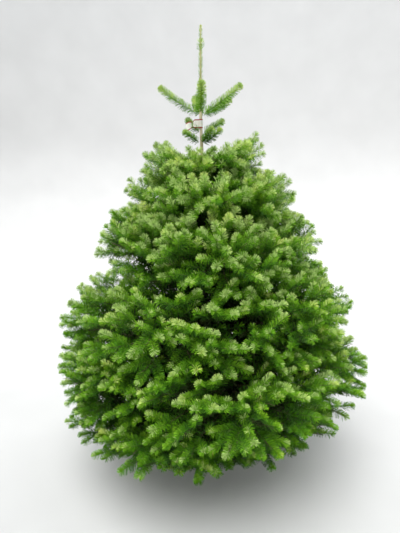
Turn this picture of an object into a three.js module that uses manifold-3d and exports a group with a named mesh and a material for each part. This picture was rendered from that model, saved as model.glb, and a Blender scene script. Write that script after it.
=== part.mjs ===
// A young fir grown as a Christmas tree, rooted in the ground, in millimetres.
// The origin is at ground level under the trunk. +Z is up, -Y is the front and +X is the right seen from there.
import * as THREE from "three";
import { mergeVertices } from "three/addons/utils/BufferGeometryUtils.js";
import Module from "manifold-3d";

const wasm = await Module();
wasm.setup();

// The trunk and its bare leader
const TREE_HEIGHT = 2450;
const TOP_WHORL = 2010; // where the leader starts
const LEAN = -42; // how far the trunk has moved to the left at the top whorl
const LEAN_CURVE = 1.7; // the lean grows with this power of the height
const SWEEP = 9; // how far the trunk's middle bows to the back
const FOOT_RADIUS = 33;
const LEADER_RADIUS = 7;
const LEADER_TIP_RADIUS = 3;
const FLARE = { spread: 15, height: 48, lobes: 5, lobeDepth: 0.13 };
const WHORL_SWELLING = { radius: 4.5, halfHeight: 20 }; // the top shoots grow from it
const TRUNK_SIDES = 10;

const CLEARANCE = 0.3; // gap where two pieces meet
const SMALLEST = 0.1; // finer detail than this is smoothed out of shoots and masses

// Tiers of boughs, from the top down. root is a tier's height on the trunk, reach its furthest needle from the
// trunk, rise its tips' height above the root, limb the bare length of its boughs, turn the first bough's
// azimuth, blade the length of a spray's needled part, and tuck how much its lower edge falls back.
const TIERS = [
  { root: 1690, reach: 325, rise: 152, sag: 0.1, limb: 0, turn: 10, blade: 165 },
  { root: 1420, reach: 485, rise: 210, sag: 0.2, limb: 0, turn: 47, blade: 185 },
  { root: 1140, reach: 665, rise: 262, sag: 0.3, limb: 215, turn: -6, blade: 210 },
  { root: 845, reach: 815, rise: 180, sag: 0.4, limb: 270, turn: 33, blade: 230 },
  { root: 560, reach: 880, rise: 100, sag: 0.5, limb: 300, turn: 0, blade: 240, longest: 1.09 },
  { root: 310, reach: 815, rise: 105, sag: 0.7, limb: 290, turn: 38, blade: 240, tuck: 0.3 },
];
const BOUGHS = 5; // in each tier
const TURN_JITTER = 6; // degrees
const REACH_JITTER = 0.04;
const RIGHT_BIAS = 0.045; // the crown reaches further on the right
const BOUGH = { rootRadius: 3, radiusPerReach: 0.007, taper: 0.72, sides: 6, steps: 2 };

// The space of the masses
const TOP_DEPTH = 80; // foliage above the highest tier's boughs
const TIER_DEPTH = 195; // the most foliage above or below a bough
const SKIRT_DEPTH = 155; // foliage under the lowest boughs
const TIER_GAP = 5; // from a tier's foliage to the border with the next tier
const SECTOR_GAP = 6; // from a mass to the border with its neighbour
const ROUNDING = 0.16; // how much the reach falls back at a tier's borders

// A mass: its bare foot on the trunk, its stem, and its dense heart in shares of the mass's space
const BARE_FOOT = 40;
const STEM = { tipRadius: 3, sides: 5, bareEnd: 0.7 };
const HEART = { start: 25, reach: 0.87, squareness: 0.55, sideGap: 14 };
const HEART_WIDTH = { least: 0.88, more: 0.1 };
const HEART_DEPTH = { least: 0.8, more: 0.17 };

// A spray of needles, as a blade with teeth: sizes in shares of its needled length
const SPRAY = { halfWidth: 0.22, narrowing: 0.09, notch: 0.085, notchStep: 0.1, ridge: 0.05, middle: 0.5 };
const TEETH = { count: 3, first: 0.64, last: 0.14 };
const SHORTEST_SPRAY = 0.55; // shorter ones, in shares of a full one, are left out
const NEEDLED_MOST = 0.9; // of a spray's length
const SPRAY_STEP = 10; // how finely a spray's length is fitted to its mass's space
const SPRAY_MARGIN = 2;
// The ways that sprays leave the stem at its nodes and at its end: degrees aside and degrees up
const FORKS = [
  [[-58, 24], [58, 24], [-50, -20]],
  [[-56, 22], [56, 22], [50, -20]],
  [[4, -16], [-34, 6], [34, 6], [0, 26]],
];
const FIRST_FORK = 15; // from the stem's leafy start
const LAST_FORK = 0.75; // from the mass's end, in spray lengths
const FORK_JITTER = { aside: 8, up: 6, roll: 0.45 };

// The top whorl's five shoots and the small twigs below them: azimuth, root height, reach and rise
const TOP_SHOOTS = [
  { azimuth: 181, root: TOP_WHORL, reach: 224, rise: 138 },
  { azimuth: -9, root: TOP_WHORL + 4, reach: 224, rise: 148 },
  { azimuth: 266, root: TOP_WHORL, reach: 200, rise: 108 },
  { azimuth: 110, root: TOP_WHORL - 4, reach: 160, rise: 120 },
  { azimuth: 42, root: TOP_WHORL - 2, reach: 226, rise: 106 },
];
const STEM_TWIGS = [
  { azimuth: 200, root: 1858, reach: 96, rise: 70 },
  { azimuth: 8, root: 1896, reach: 120, rise: 86 },
  { azimuth: -28, root: 1846, reach: 112, rise: 72 },
];
const SHOOT = { core: 4.5, thickness: 7, bareFoot: 50, pitch: 50, needleWidth: 14, slant: 26, spread: 25 };

// The paper band tied round the trunk under the top whorl
const BAND = { middle: 1952, height: 38, thickness: 1.2, sides: 12 };
const BAND_TAIL = { length: 82, droop: 0.12, wave: 9, steps: 6 };

const UP = new THREE.Vector3(0, 0, 1);
const radians = THREE.MathUtils.degToRad;
const { lerp } = THREE.MathUtils;

const finish = (color, roughness) => new THREE.MeshStandardMaterial({ color, roughness, metalness: 0 });
const bark = finish(0x6d6350, 0.9);
const youngBark = finish(0x8d8a5e, 0.85);
const needles = finish(0x4f7d26, 0.55);
const freshNeedles = finish(0x7fa843, 0.5);
const paper = finish(0xf1ece4, 0.6);

// Even random numbers from 0 to 1, the same ones each time for one seed
function randomFrom(seed) {
  let state = Math.imul(seed + 1, 2654435761) >>> 0;
  return () => {
    state = (Math.imul(state, 1664525) + 1013904223) >>> 0;
    return state / 4294967296;
  };
}

const jitter = (random, most) => most * (2 * random() - 1);

// A closed geometry as a solid that can be joined and cut
function solid(geometry) {
  const bare = new THREE.BufferGeometry().setAttribute("position", geometry.getAttribute("position"));
  bare.setIndex(geometry.index);
  const merged = mergeVertices(bare, 1e-3);
  const vertProperties = merged.getAttribute("position").array;
  const triVerts = new Uint32Array(merged.index.array);
  return new wasm.Manifold(new wasm.Mesh({ numProp: 3, vertProperties, triVerts }));
}

// The largest of the separate bodies that a cut can leave
function largestBody(cut) {
  return cut.decompose().reduce((most, body) => (body.volume() > most.volume() ? body : most));
}

function namedMesh(name, made, material) {
  const { vertProperties, triVerts } = made.getMesh();
  const indexed = new THREE.BufferGeometry();
  indexed.setAttribute("position", new THREE.BufferAttribute(vertProperties, 3));
  indexed.setIndex(new THREE.BufferAttribute(triVerts, 1));
  const geometry = indexed.toNonIndexed();
  geometry.computeVertexNormals();
  const mesh = new THREE.Mesh(geometry, material);
  mesh.name = name;
  return mesh;
}

// A limb through the given middles, radius(step, angle) thick at each, with flat ends square to its path
function limbShape(middles, tangents, radius, sides) {
  const steps = middles.length - 1;
  const shape = new THREE.CylinderGeometry(1, 1, steps, sides, steps);
  const corners = shape.getAttribute("position");
  for (let i = 0; i < corners.count; i++) {
    const [x, y, z] = [corners.getX(i), corners.getY(i), corners.getZ(i)];
    const step = Math.round(y + steps / 2);
    const across = new THREE.Vector3().crossVectors(tangents[step], UP);
    if (across.length() < 1e-6) across.set(1, 0, 0);
    across.normalize();
    const over = new THREE.Vector3().crossVectors(across, tangents[step]);
    const out = radius(step, Math.atan2(z, x));
    const place = middles[step].clone().addScaledVector(across, x * out).addScaledVector(over, z * out);
    corners.setXYZ(i, place.x, place.y, place.z);
  }
  return shape;
}

// The trunk's middle at a height
function trunkMiddle(z) {
  const share = Math.min(z / TOP_WHORL, 1);
  return new THREE.Vector3(LEAN * share ** LEAN_CURVE, SWEEP * Math.sin(Math.PI * share), z);
}

// The trunk's radius at a height, with its flare at the ground and its swelling at the top whorl
function trunkRadius(z) {
  const leader = (z - TOP_WHORL) / (TREE_HEIGHT - TOP_WHORL);
  if (leader > 0) return lerp(LEADER_RADIUS, LEADER_TIP_RADIUS, leader);
  const nearWhorl = Math.max(0, 1 - (TOP_WHORL - z) / WHORL_SWELLING.halfHeight);
  const flare = FLARE.spread * Math.exp(-z / FLARE.height);
  return lerp(FOOT_RADIUS, LEADER_RADIUS, z / TOP_WHORL) + flare + WHORL_SWELLING.radius * nearWhorl;
}

// The trunk from its flat cut to the leader's tip. grown makes it thicker all over.
function trunkShape(grown) {
  const whorl = [-1, 0, 1].map((side) => TOP_WHORL + side * WHORL_SWELLING.halfHeight);
  const levels = [0, 20, 50, 100, 200, 500, 900, 1300, 1700, ...whorl, 2230, TREE_HEIGHT];
  const lobe = (z, angle) => FLARE.lobeDepth * Math.exp(-z / FLARE.height) * Math.cos(FLARE.lobes * angle);
  const radius = (step, angle) => trunkRadius(levels[step]) * (1 + lobe(levels[step], angle)) + grown;
  return limbShape(levels.map(trunkMiddle), levels.map(() => UP), radius, TRUNK_SIDES);
}

// The height of a tier's boughs, or of a shoot, at a distance from the trunk's middle
function boughHeight({ root, reach, rise, sag = 0 }, r) {
  const share = r / reach;
  return root + rise * ((1 - sag) * share + sag * share ** 2);
}

// A bough or shoot's axis: r is the distance from the trunk's middle, along an azimuth
function axisOf(grown, azimuth) {
  const { root, reach, rise, sag = 0 } = grown;
  const start = trunkMiddle(root);
  const out = new THREE.Vector3(Math.cos(azimuth), Math.sin(azimuth), 0);
  const slope = (r) => (rise / reach) * (1 - sag + 2 * sag * (r / reach));
  return {
    start,
    at: (r) => start.clone().addScaledVector(out, r).setZ(boughHeight(grown, r)),
    tangent: (r) => out.clone().addScaledVector(UP, slope(r)).normalize(),
  };
}

function limbAlong(axis, [from, to], [thick, thin], sides, steps) {
  const stops = Array.from({ length: steps + 1 }, (_, i) => lerp(from, to, i / steps));
  const radius = (step) => lerp(thick, thin, step / steps);
  return solid(limbShape(stops.map(axis.at), stops.map(axis.tangent), radius, sides));
}

// A tier's boughs: azimuth, reach, and the azimuths of the borders with both neighbours
function boughsOf(level) {
  const tier = TIERS[level];
  const random = randomFrom(40 + level);
  const boughs = Array.from({ length: BOUGHS }, (_, i) => {
    const azimuth = radians(tier.turn + (360 / BOUGHS) * i + jitter(random, TURN_JITTER));
    const bias = 1 + RIGHT_BIAS * Math.cos(azimuth) + jitter(random, REACH_JITTER);
    const longer = i === 0 ? (tier.longest ?? 1) : 1;
    return { tier, level, number: i + 1, azimuth, reach: tier.reach * bias * longer };
  });
  const azimuthOf = (i) => boughs[(i + BOUGHS) % BOUGHS].azimuth + 2 * Math.PI * Math.floor(i / BOUGHS);
  boughs.forEach((bough, i) => {
    bough.left = (bough.azimuth + azimuthOf(i + 1)) / 2;
    bough.right = (bough.azimuth + azimuthOf(i - 1)) / 2;
  });
  return boughs;
}

// The height of a tier's space at a distance from the trunk: halfway to the tiers above and below
function tierSpace(level, r) {
  const middle = boughHeight(TIERS[level], r);
  const above = level === 0 ? middle + 2 * TOP_DEPTH : boughHeight(TIERS[level - 1], r);
  const below = level === TIERS.length - 1 ? middle - 2 * SKIRT_DEPTH : boughHeight(TIERS[level + 1], r);
  return {
    middle,
    top: Math.min((middle + above) / 2, middle + TIER_DEPTH) - TIER_GAP,
    bottom: Math.max((middle + below) / 2, middle - TIER_DEPTH) + TIER_GAP,
  };
}

// Whether a point lies in a bough's own space, at least margin from each border
function inSpace(bough, point, margin) {
  const from = point.clone().sub(trunkMiddle(bough.tier.root));
  const r = Math.hypot(from.x, from.y);
  const azimuth = Math.atan2(from.y, from.x);
  const { middle, top, bottom } = tierSpace(bough.level, r);
  const height = point.z - middle;
  const share = height / (height > 0 ? top - middle : middle - bottom);
  const rounding = height > 0 ? ROUNDING : (bough.tier.tuck ?? ROUNDING);
  const furthest = bough.reach * (1 - rounding * Math.min(share ** 2, 1));
  const toLeft = r * Math.sin(bough.left - azimuth);
  const toRight = r * Math.sin(azimuth - bough.right);
  const inTier = point.z < top - margin && point.z > bottom + margin;
  return inTier && r < furthest - margin && Math.min(toLeft, toRight) > SECTOR_GAP + margin;
}

// How far a straight way from a point stays in a bough's space
function roomAlong(bough, from, way) {
  const stays = (distance) => inSpace(bough, from.clone().addScaledVector(way, distance), SPRAY_MARGIN);
  let room = 0;
  while (stays(room + SPRAY_STEP)) room += SPRAY_STEP;
  return room;
}

// One side of a spray's outline: tooth tips with notches between them, as distances along and aside
function sprayEdge(length, blade) {
  const edge = [];
  for (let tooth = 0; tooth < TEETH.count; tooth++) {
    const back = lerp(TEETH.first, TEETH.last, tooth / (TEETH.count - 1));
    const along = length - blade * back;
    if (tooth > 0) edge.push([along - blade * SPRAY.notchStep, blade * SPRAY.notch]);
    edge.push([along, blade * SPRAY.halfWidth * (1 - SPRAY.narrowing * tooth ** 2)]);
  }
  return edge;
}

// A spray: a thin stalk from the stem that opens into a toothed blade of needles, flat across its side vector
function spraySolid(root, way, side, length, blade) {
  const over = new THREE.Vector3().crossVectors(side, way).normalize();
  const place = (x, y, z) =>
    root.clone().addScaledVector(way, x).addScaledVector(side, y).addScaledVector(over, z);
  const edge = sprayEdge(length, blade);
  const outline = [[0, 0], ...edge, [length, 0], ...edge.toReversed().map(([x, y]) => [x, -y])];
  const middle = length - blade * SPRAY.middle;
  const ridges = [1, -1].map((face) => place(middle, 0, face * blade * SPRAY.ridge));
  const corners = [...outline.map(([x, y]) => place(x, y, 0)), ...ridges];
  const faces = outline.flatMap((_, i) => {
    const next = (i + 1) % outline.length;
    return [i, next, outline.length, next, i, outline.length + 1];
  });
  const geometry = new THREE.BufferGeometry().setFromPoints(corners);
  geometry.setIndex(faces);
  return { corners, made: solid(geometry) };
}

// The feet of a mass's sprays on its stem, and the ways in which they leave it
function twigsOf(bough, axis, leafy) {
  const random = randomFrom(100 * bough.level + bough.number);
  const lastNode = bough.reach - bough.tier.blade * LAST_FORK;
  return FORKS.flatMap((ways, node) => {
    const r = lerp(leafy + FIRST_FORK, lastNode, node / (FORKS.length - 1));
    const tangent = axis.tangent(r);
    const across = new THREE.Vector3().crossVectors(UP, tangent).normalize();
    const over = new THREE.Vector3().crossVectors(tangent, across);
    return ways.map(([aside, up]) => {
      const open = radians(aside + jitter(random, FORK_JITTER.aside));
      const tilt = radians(up + jitter(random, FORK_JITTER.up));
      const level = tangent.clone().multiplyScalar(Math.cos(open)).addScaledVector(across, Math.sin(open));
      const way = level.multiplyScalar(Math.cos(tilt)).addScaledVector(over, Math.sin(tilt));
      return { foot: axis.at(r), way, roll: jitter(random, FORK_JITTER.roll) };
    });
  });
}

// The dense heart of a mass: a ball drawn out into a fan between its borders
function heartSolid(bough, leafy) {
  const random = randomFrom(900 + 10 * bough.level + bough.number);
  const ball = new THREE.IcosahedronGeometry(1, 1);
  const bare = new THREE.BufferGeometry().setAttribute("position", ball.getAttribute("position"));
  const shape = mergeVertices(bare, 1e-3);
  const corners = shape.getAttribute("position");
  const square = (x) => Math.sign(x) * Math.abs(x) ** HEART.squareness;
  const middle = trunkMiddle(bough.tier.root);
  for (let i = 0; i < corners.count; i++) {
    const [outward, aside, up] = [corners.getX(i), corners.getY(i), corners.getZ(i)].map(square);
    const r = lerp(leafy + HEART.start, bough.reach * HEART.reach, (outward + 1) / 2);
    const border = aside > 0 ? bough.left - bough.azimuth : bough.azimuth - bough.right;
    const width = (border - HEART.sideGap / r) * (HEART_WIDTH.least + HEART_WIDTH.more * random());
    const azimuth = bough.azimuth + aside * width;
    const space = tierSpace(bough.level, r);
    const depth = up > 0 ? space.top - space.middle : space.middle - space.bottom;
    const height = space.middle + up * depth * (HEART_DEPTH.least + HEART_DEPTH.more * random());
    corners.setXYZ(i, middle.x + r * Math.cos(azimuth), middle.y + r * Math.sin(azimuth), height);
  }
  return solid(shape);
}

const boughRootRadius = (tier) => BOUGH.rootRadius + tier.reach * BOUGH.radiusPerReach;

// A mass of foliage: a stem from the bough's end or the trunk, its sprays and the heart that they stand out of
function foliageSolid(bough) {
  const { tier } = bough;
  const axis = axisOf(tier, bough.azimuth);
  const from = tier.limb ? tier.limb + CLEARANCE : 0;
  const thick = boughRootRadius(tier) * (tier.limb ? BOUGH.taper : 1);
  const stemEnd = bough.reach - tier.blade * STEM.bareEnd;
  const stem = limbAlong(axis, [from, stemEnd], [thick, STEM.tipRadius], STEM.sides, 1);
  const leafy = tier.limb ? from : BARE_FOOT;
  let mass = (tier.limb ? stem : largestBody(stem.subtract(trunkKeepOut))).add(heartSolid(bough, leafy));
  for (const { foot, way, roll } of twigsOf(bough, axis, leafy)) {
    const room = roomAlong(bough, foot, way);
    const blade = Math.min(tier.blade, room * NEEDLED_MOST);
    if (blade < tier.blade * SHORTEST_SPRAY) continue;
    const side = new THREE.Vector3().crossVectors(way, UP).normalize().applyAxisAngle(way, roll);
    const { corners, made } = spraySolid(foot, way, side, room, blade);
    if (corners.every((corner) => inSpace(bough, corner, 0))) mass = mass.add(made);
  }
  return largestBody(mass.simplify(SMALLEST));
}

function boughSolid({ tier, azimuth }) {
  const thick = boughRootRadius(tier);
  const ends = [thick, thick * BOUGH.taper];
  const limb = limbAlong(axisOf(tier, azimuth), [0, tier.limb], ends, BOUGH.sides, BOUGH.steps);
  return largestBody(limb.subtract(trunkKeepOut));
}

// One comb of a shoot: its teeth are needles that slant forward on both sides, from its tip to its bare foot
function combSolid(axis, length, turn, offset) {
  const last = length - SHOOT.slant - SHOOT.needleWidth - offset;
  const count = Math.floor((last - SHOOT.bareFoot) / SHOOT.pitch);
  const side = Array.from({ length: count + 1 }, (_, i) => {
    const foot = last - (count - i) * SHOOT.pitch;
    const tip = [foot + SHOOT.slant, SHOOT.spread];
    return [[foot, SHOOT.core], tip, [foot + SHOOT.needleWidth, SHOOT.core]];
  }).flat();
  const half = [[0, SHOOT.core], ...side];
  const points = [...half, [length, 0], ...half.toReversed().map(([x, y]) => [x, -y])];
  const outline = new THREE.Shape(points.map(([x, y]) => new THREE.Vector2(x, y)));
  const comb = new THREE.ExtrudeGeometry(outline, { depth: SHOOT.thickness, bevelEnabled: false });
  comb.translate(0, 0, -SHOOT.thickness / 2);
  comb.rotateX(turn);
  const along = axis.tangent(0);
  const across = new THREE.Vector3().crossVectors(UP, along).normalize();
  const over = new THREE.Vector3().crossVectors(along, across);
  comb.applyMatrix4(new THREE.Matrix4().makeBasis(along, across, over).setPosition(axis.start));
  return solid(comb);
}

// A needled shoot: two flat combs of needles that cross at right angles
function shootSolid(shoot) {
  const axis = axisOf(shoot, radians(shoot.azimuth));
  const length = Math.hypot(shoot.reach, shoot.rise);
  const level = combSolid(axis, length, 0, 0);
  const upright = combSolid(axis, length, Math.PI / 2, SHOOT.pitch / 2);
  return largestBody(level.add(upright).subtract(trunkKeepOut)).simplify(SMALLEST);
}

// The band loops round the trunk, leans as it does, and ends in a waved tail to the left
function bandSolid() {
  const foot = BAND.middle - BAND.height / 2;
  const inner = (trunkRadius(foot) + CLEARANCE) / Math.cos(Math.PI / BAND.sides);
  const outer = inner + BAND.thickness;
  const half = BAND.thickness / 2;
  const stops = Array.from({ length: BAND_TAIL.steps }, (_, i) => (i + 1) / BAND_TAIL.steps);
  const along = (share) => -lerp(outer, BAND_TAIL.length, share);
  const wave = (share) => -BAND_TAIL.wave * Math.sin(Math.PI * share);
  const meets = Math.asin(half / outer);
  const outline = new THREE.Shape();
  outline.absarc(0, 0, outer, -Math.PI + meets, Math.PI - meets, false);
  stops.forEach((share) => outline.lineTo(along(share), wave(share) + half));
  stops.toReversed().forEach((share) => outline.lineTo(along(share), wave(share) - half));
  outline.holes.push(new THREE.Path().absarc(0, 0, inner, 0, 2 * Math.PI, false));
  const settings = { depth: BAND.height, bevelEnabled: false, curveSegments: BAND.sides / 2 };
  const band = new THREE.ExtrudeGeometry(outline, settings).translate(0, 0, foot);
  const corners = band.getAttribute("position");
  for (let i = 0; i < corners.count; i++) {
    const [x, y, z] = [corners.getX(i), corners.getY(i), corners.getZ(i)];
    const middle = trunkMiddle(z);
    const droop = BAND_TAIL.droop * Math.max(0, -x - outer);
    corners.setXYZ(i, x + middle.x, y + middle.y, z - droop);
  }
  return solid(band);
}

const trunkKeepOut = solid(trunkShape(CLEARANCE));

const tree = new THREE.Group();
tree.add(namedMesh("trunk", solid(trunkShape(0)), bark));
tree.add(namedMesh("paper_band", bandSolid(), paper));
TOP_SHOOTS.forEach((shoot, i) => tree.add(namedMesh(`top_shoot_${i + 1}`, shootSolid(shoot), freshNeedles)));
STEM_TWIGS.forEach((twig, i) => tree.add(namedMesh(`stem_twig_${i + 1}`, shootSolid(twig), freshNeedles)));
TIERS.forEach((tier, level) => {
  for (const bough of boughsOf(level)) {
    const place = `${level + 1}_${bough.number}`;
    if (tier.limb) tree.add(namedMesh(`bough_${place}`, boughSolid(bough), youngBark));
    tree.add(namedMesh(`foliage_${place}`, foliageSolid(bough), needles));
  }
});

export default tree;
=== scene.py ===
"""A young rooted fir grown as a christmas tree, with its bark, twigs, needles and paper band."""
import math
from collections import namedtuple
from types import SimpleNamespace as Group

import bpy
import numpy as np
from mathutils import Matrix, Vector


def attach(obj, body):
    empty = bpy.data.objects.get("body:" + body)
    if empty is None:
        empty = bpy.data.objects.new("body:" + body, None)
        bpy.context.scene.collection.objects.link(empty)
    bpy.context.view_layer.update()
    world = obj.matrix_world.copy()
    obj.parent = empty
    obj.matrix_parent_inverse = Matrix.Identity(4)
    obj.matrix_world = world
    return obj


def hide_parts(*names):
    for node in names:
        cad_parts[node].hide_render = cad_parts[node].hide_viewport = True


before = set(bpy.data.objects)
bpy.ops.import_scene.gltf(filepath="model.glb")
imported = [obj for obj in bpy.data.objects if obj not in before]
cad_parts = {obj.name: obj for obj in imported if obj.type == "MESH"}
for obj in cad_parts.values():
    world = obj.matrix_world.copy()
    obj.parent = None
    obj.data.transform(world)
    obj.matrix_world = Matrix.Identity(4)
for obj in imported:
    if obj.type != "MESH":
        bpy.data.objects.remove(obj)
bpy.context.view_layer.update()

# The trunk and its bare leader, in metres
TREE_HEIGHT = 2.45
TOP_WHORL = 2.01  # the height of the top whorl
LEAN = -0.042  # where the stem's middle is at the top whorl, to the left
LEAN_CURVE = 1.7
SWEEP = 0.009  # how far back the stem bows half way up to it
FOOT_RADIUS = 0.033
LEADER_RADIUS = 0.007
LEADER_TIP_RADIUS = 0.003
FLARE = Group(spread=0.015, height=0.048, lobes=5, lobe_depth=0.13, half_angle=20)
LOBE_PULL = 2.4  # lobes are drawn out further, because rounding takes some back
SWELLING = Group(radius=0.0045, half_height=0.02)
TRUNK_SIDES = 20
TRUNK_STEP = 0.035
FOOT_RINGS = (0, 0.001, 0.015)  # close together, so that rounding keeps the foot's width
TIP_RING = 0.002  # below the leader's tip, in the same way
CUT = 0.0005  # how much of the rounded foot is cut off flat
BARK_RELIEF = Group(size=0.018, depth=0.0022)
YOUNG_RELIEF = Group(size=0.012, depth=0.0011)

# Tiers of boughs, from the top down, as in the part's source
TIERS = [
    Group(root=1.69, reach=0.325, rise=0.152, sag=0.1, turn=10, blade=0.165),
    Group(root=1.42, reach=0.485, rise=0.21, sag=0.2, turn=47, blade=0.185),
    Group(root=1.14, reach=0.665, rise=0.262, sag=0.3, turn=-6, blade=0.21),
    Group(root=0.845, reach=0.815, rise=0.18, sag=0.4, turn=33, blade=0.23),
    Group(root=0.56, reach=0.88, rise=0.1, sag=0.5, turn=0, blade=0.24),
    Group(root=0.31, reach=0.815, rise=0.105, sag=0.7, turn=38, blade=0.24),
]
# Each tier's share of its reach, and how far it drops: on the left, in front and behind, and on the right
SIDES = [
    Group(share=(1.1, 1, 1), drop=(0, 0, 0)),
    Group(share=(0.93, 1, 0.98), drop=(0, 0, 0)),
    Group(share=(0.93, 1, 0.96), drop=(-0.04, 0, 0)),
    Group(share=(1.04, 1, 1.01), drop=(0.06, 0, -0.02)),
    Group(share=(1.02, 1, 0.96), drop=(0, 0, 0.02)),
    Group(share=(1.035, 0.94, 0.9), drop=(0, 0, 0)),
]
TUCK = (0, 0.33, 0.22)  # of its reach, how far the lowest tier draws in below, in the same places
LONGEST = {4: 1.09}  # the first bough of the fifth tier reaches further
BOUGHS = 5  # in each tier
FIRST_SEED = 40  # of the top tier's boughs
TURN_JITTER = 6
REACH_JITTER = 0.04
RIGHT_BIAS = 0.045
TOP_DEPTH = 0.08
TIER_DEPTH = 0.195
SKIRT_DEPTH = 0.155
TIER_GAP = 0.005
ROUNDING = 0.16
BARE_FOOT = 0.05  # how far from the trunk's middle the top tier's fans begin

# A bough: its radius at the trunk and at its end, and the collar that it grows from
BOUGH = Group(root=0.003, per_reach=0.007, tip=0.002, collar=1.7, sides=8, stops=9)
STEM_END = 0.5  # of a blade's length, how far inside its reach a bough ends

# Layers of fans in a mass, from its surface inwards: the share of the way out from the trunk, and the steps
# from row to row and from fan to fan
LAYERS = [
    Group(depth=1.0, row_step=0.098, fan_step=0.19),
    Group(depth=0.74, row_step=0.095, fan_step=0.128),
    Group(depth=0.44, row_step=0.075, fan_step=0.115),
    Group(depth=0.2, row_step=0.05, fan_step=0.08),
]
PROFILE_STOPS = 31  # down a mass's outer face
EDGE_STOPS = 12  # along its upper side and its underside
UPPER_START = 0.93  # of the reach of the tier above, where a mass comes into view
LOWER_END = 0.93  # of its own reach, where it ends above the next tier
BULGE = 0.62  # of the way down a mass's face, where it stands out furthest
SHELF = 0.75  # how much of the solids' level shelf a mass shows at its bough, except in front
SHELF_EDGE = 1.4  # how square that shelf's edge is
UNDERSIDE = 0.42  # how near the trunk the lowest tier has fans under it
SIDE_ROUNDING = 0.04  # how much the reach falls back towards the neighbouring boughs
SKIN = 0.016  # from the surface to the tip of a fan's bud
CUP = 0.15  # how thick the top tier is over its boughs near the trunk
DIP = 0.09  # how much lower the top tier is in front and behind than on both sides
TOP_LIMIT = 1.885  # the height of the top tier's top
DEEPER_DROP = 0.16  # how much lower sprays lie the nearer they are to the trunk
SEAM = 0.014  # how far a mass's sprays reach across the border with the next tier
SKIRT = 0.32  # how much of the solids' depth the lowest tier fills below its boughs
# How far fans stray: along and across their places in the rows, inwards as a share of the reach, and up
STRAY = Group(along=0.42, across=0.24, inwards=0.06, up=0.026)

# Where the crown is open, in to a share of the reach: on the left between two tiers, and before the stem
OPENINGS = [
    Group(azimuth=188, half_width=14, height=1.23, half_height=0.04, inner=0.5),
    Group(azimuth=271, half_width=18, height=1.695, half_height=0.05, inner=0),
]

# The twigs that carry the fans: degrees from the bough at which they leave it, how far behind the fan in
# shoot lengths, the nearest place to the trunk, the last one as a share of the reach, and their bend
FORK = Group(angle=52, behind=0.6, nearest=0.03, last=0.9, bend=0.45)
ASIDE_SHARE = 0.5  # how much a fan turns on past the direction of its place
SHOOT_LIFT = ((0.2, -3), (0.6, 4), (1.0, 14), (1.4, 26), (1.8, 42), (2.1, 48))  # height and degrees up
EDGE_LIFT = Group(above=9, below=3)  # more degrees up and down at a mass's top and bottom
FAN_STRAY = Group(lift=11, turn=13)
# Radians that fans turn out of the level, on the sides and in front, and the heights between which it grows
FAN_ROLL = Group(sides=0.5, front=1.0, heights=(0.1, 0.6))
SHOOT_LENGTH = 0.115
UPPER_LONGER = Group(share=0.12, heights=(1.2, 1.7))  # how much longer upper shoots are
SHOOT_STRAY = Group(aside=8, up=7, length=0.12)
SHOOT_CURL = Group(forward=0.16, up=0.096)
SHORTEST_TWIG = 0.75  # of the way back to a shoot's root, the least that its twig is long

# The shoots of one fan: its layer from outside, lengths back along its twig, degrees aside and up,
# length, and kind
FAN = [
    (0, 1, 0, 0, 1.0, "tip"),
    (0, 1, 50, 0, 0.88, "tip"),
    (0, 1, -50, 0, 0.88, "tip"),
    (0, 1, 12, 48, 0.66, "upright"),
    (0, 2, 0, 0, 1.0, "older"),
    (0, 2, 54, 3, 0.98, "second"),
    (0, 2, -54, 3, 0.98, "second"),
    (0, 3, 0, 0, 1.0, "inner"),
]
DEEP_SHOOTS = ((1, 0, 1.0), (1, 52, 0.9), (1, -52, 0.9), (2, 0, 1.0))  # lengths back, degrees aside, length
DEEP_FAN = [(layer, back, aside, 0, size, "shade" if layer == 1 else "inner")
            for layer in (1, 2, 3) for back, aside, size in DEEP_SHOOTS]
UPRIGHT_AT = (1.25, 1.68)  # the heights between which fans have an upright shoot

# How each kind of shoot is needled: needles, their width and length, their angle to the shoot at its
# foot and near its tip, how far they are rolled out of facing up and outwards, and how light they are
Needling = namedtuple("Needling", "count width length sweep roll light")
KINDS = {
    "tip": Needling(160, 0.003, 0.0295, (74, 57), 66, 0.4),
    "second": Needling(92, 0.0036, 0.029, (74, 57), 66, 0.35),
    "older": Needling(44, 0.0054, 0.028, (72, 54), 66, 0.2),
    # shade and inner shoots sit deep in the crown, and their low lightness is painted shade there
    "shade": Needling(34, 0.0084, 0.031, (74, 56), 90, 0.04),
    "inner": Needling(28, 0.0115, 0.034, (74, 54), 90, -0.4),
    "top": Needling(560, 0.0028, 0.0305, (74, 60), 75, 0.8),
    "small": Needling(280, 0.003, 0.0285, (70, 54), 75, 0.66),
    "leader": Needling(110, 0.0031, 0.021, (44, 34), 90, 0.8),
    "tuft": Needling(64, 0.003, 0.027, (62, 44), 90, 0.8),
    "sparse": Needling(70, 0.003, 0.013, (62, 44), 90, 0.8),
}
GOLDEN_TURN = math.pi * (3 - math.sqrt(5))
DOME = 0.19  # of a shoot's needles, which close round its bud
CROWDING = 0.78  # how the needles crowd towards the tip
# A needle: how far from the shoot's middle it starts, its ends' share of its width, and how much shorter
# it is at the shoot's tip
NEEDLE = Group(start=0.001, foot_width=0.7, tip_width=0.8, shorter=0.14)
NEEDLE_STRAY = Group(turn=0.3, angle=6, length=0.07)
# How needles part under a shoot: how far round they turn, degrees forward on its upper side, the height
# below which the parting grows over a metre, and how far shoots that stand alone have it
PARTING = Group(turn=0.3, forward=8, height=1.5, alone=0.35)
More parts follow.
